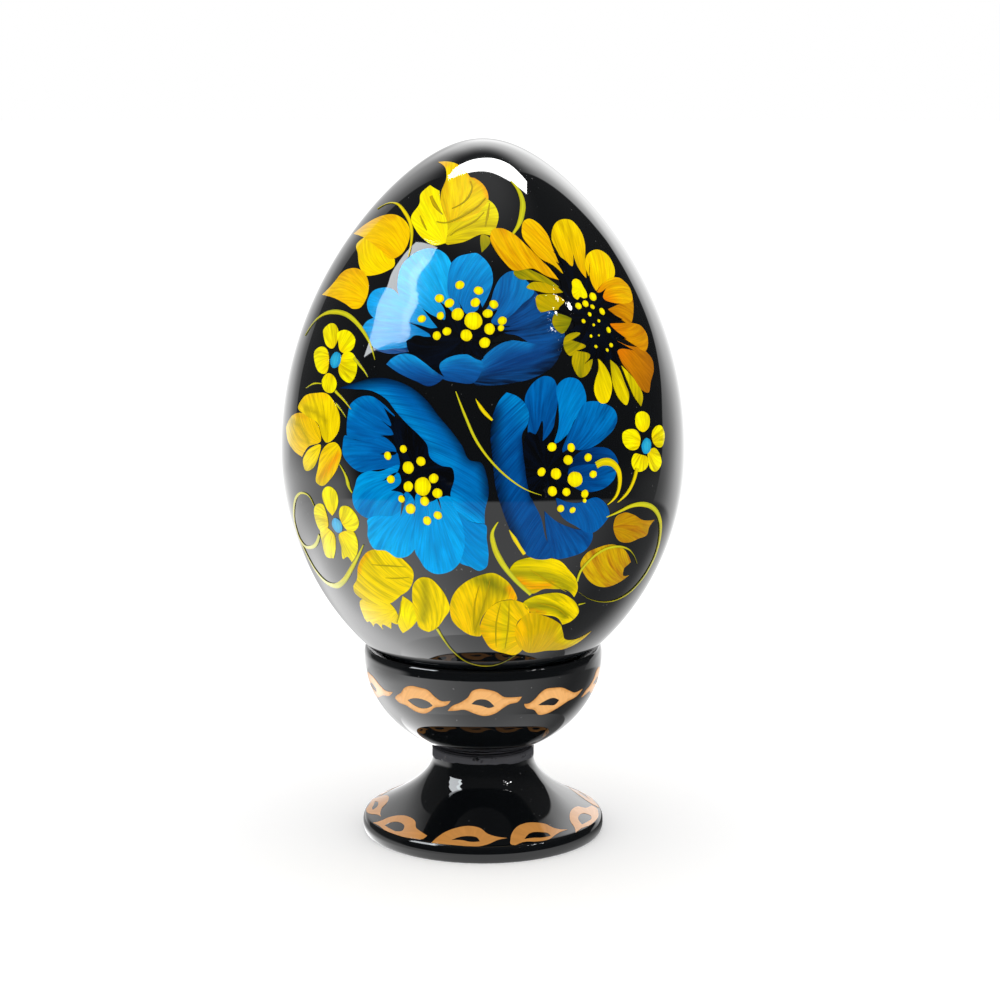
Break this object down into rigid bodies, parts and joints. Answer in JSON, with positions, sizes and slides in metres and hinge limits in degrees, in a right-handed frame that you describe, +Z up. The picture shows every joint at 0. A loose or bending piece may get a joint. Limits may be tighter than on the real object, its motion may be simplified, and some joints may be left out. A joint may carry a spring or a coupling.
{
  "type": "painted wooden egg in a footed egg cup",
  "caption": "Solid turned wooden egg, lacquered and painted with folk flowers, that lifts out of a turned and footed egg cup.",
  "frame": {"origin": "on the table, under the middle of the foot, on the axis that the egg, the cup and the foot share", "axes": "+Z up along the turning axis, -Y towards the painted front of the egg, +X to the right of that front"},
  "size_m": [0.05, 0.05, 0.087],
  "materials": {
    "egg_lacquer": "black gloss lacquer over turned wood",
    "stand_lacquer": "black gloss lacquer over turned wood, matte and chipped at the collar",
    "blue_paint": "blue flower paint on the wood, streaked by the brush, under the gloss lacquer",
    "yellow_paint": "yellow and orange leaf and petal paint on the wood, under the gloss lacquer",
    "green_paint": "thin yellow-green curl paint on the wood, under the gloss lacquer",
    "gold_paint": "flat gold-orange ornament paint on the wood of the stand",
    "black_paint": "black spiky flower centres painted on the wood"
  },
  "bodies": {
    "stand": {"cup_bowl": "stand_lacquer", "foot": "stand_lacquer"},
    "egg_body": {"egg": "egg_lacquer"}
  },
  "joints": [
    {"name": "egg_lift", "type": "slide", "parent": "stand", "child": "egg_body", "axis": [0, 0, 1], "range_m": [0, 0.03]}
  ]
}
